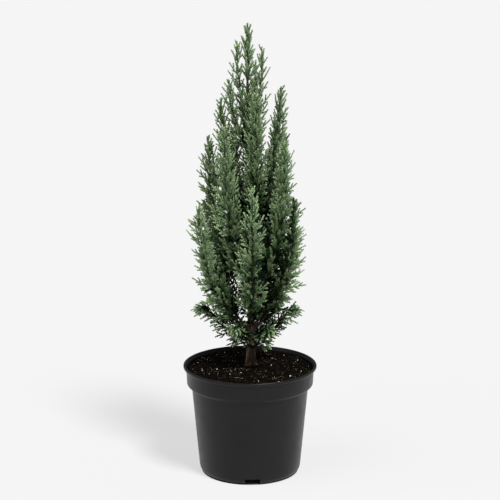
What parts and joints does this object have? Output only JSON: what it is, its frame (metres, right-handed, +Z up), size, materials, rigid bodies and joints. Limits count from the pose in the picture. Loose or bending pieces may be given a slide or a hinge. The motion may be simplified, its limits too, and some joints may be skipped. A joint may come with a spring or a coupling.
{
  "type": "potted arizona cypress",
  "caption": "Young slim upright cypress with feathery grey-green plumes round one trunk, growing in a round black nursery pot filled with potting mix.",
  "frame": {"origin": "centre of the pot's foot, on the surface that the pot stands on", "axes": "+Z up along the trunk; the picture looks along +Y, with +X to its right"},
  "size_m": [0.17, 0.17, 0.571],
  "materials": {
    "pot": "satin black",
    "soil": "loose moist crumb",
    "bark": "rough bark",
    "foliage": "matt grey-green"
  },
  "bodies": {
    "root": {"pot": "pot", "soil": "soil", "trunk": "bark", "bough_upper_1": "bark", "bough_upper_2": "bark", "bough_upper_3": "bark", "bough_upper_4": "bark", "bough_middle_1": "bark", "bough_middle_2": "bark", "bough_middle_3": "bark", "bough_middle_4": "bark", "bough_middle_5": "bark", "bough_lower_1": "bark", "bough_lower_2": "bark", "bough_lower_3": "bark", "bough_lower_4": "bark", "bough_lower_5": "bark", "bough_lower_6": "bark", "bough_basal_1": "bark", "bough_basal_2": "bark", "bough_basal_3": "bark", "bough_basal_4": "bark", "bough_basal_5": "bark", "bough_basal_6": "bark", "foliage_leader": "foliage", "foliage_crest_1": "foliage", "foliage_crest_2": "foliage", "foliage_crest_3": "foliage", "foliage_crest_4": "foliage", "foliage_crest_5": "foliage", "foliage_upper_1": "foliage", "foliage_upper_2": "foliage", "foliage_upper_3": "foliage", "foliage_upper_4": "foliage", "foliage_middle_1": "foliage", "foliage_middle_2": "foliage", "foliage_middle_3": "foliage", "foliage_middle_4": "foliage", "foliage_middle_5": "foliage", "foliage_lower_1": "foliage", "foliage_lower_2": "foliage", "foliage_lower_3": "foliage", "foliage_lower_4": "foliage", "foliage_lower_5": "foliage", "foliage_lower_6": "foliage", "foliage_basal_1": "foliage", "foliage_basal_2": "foliage", "foliage_basal_3": "foliage", "foliage_basal_4": "foliage", "foliage_basal_5": "foliage", "foliage_basal_6": "foliage"}
  },
  "joints": []
}
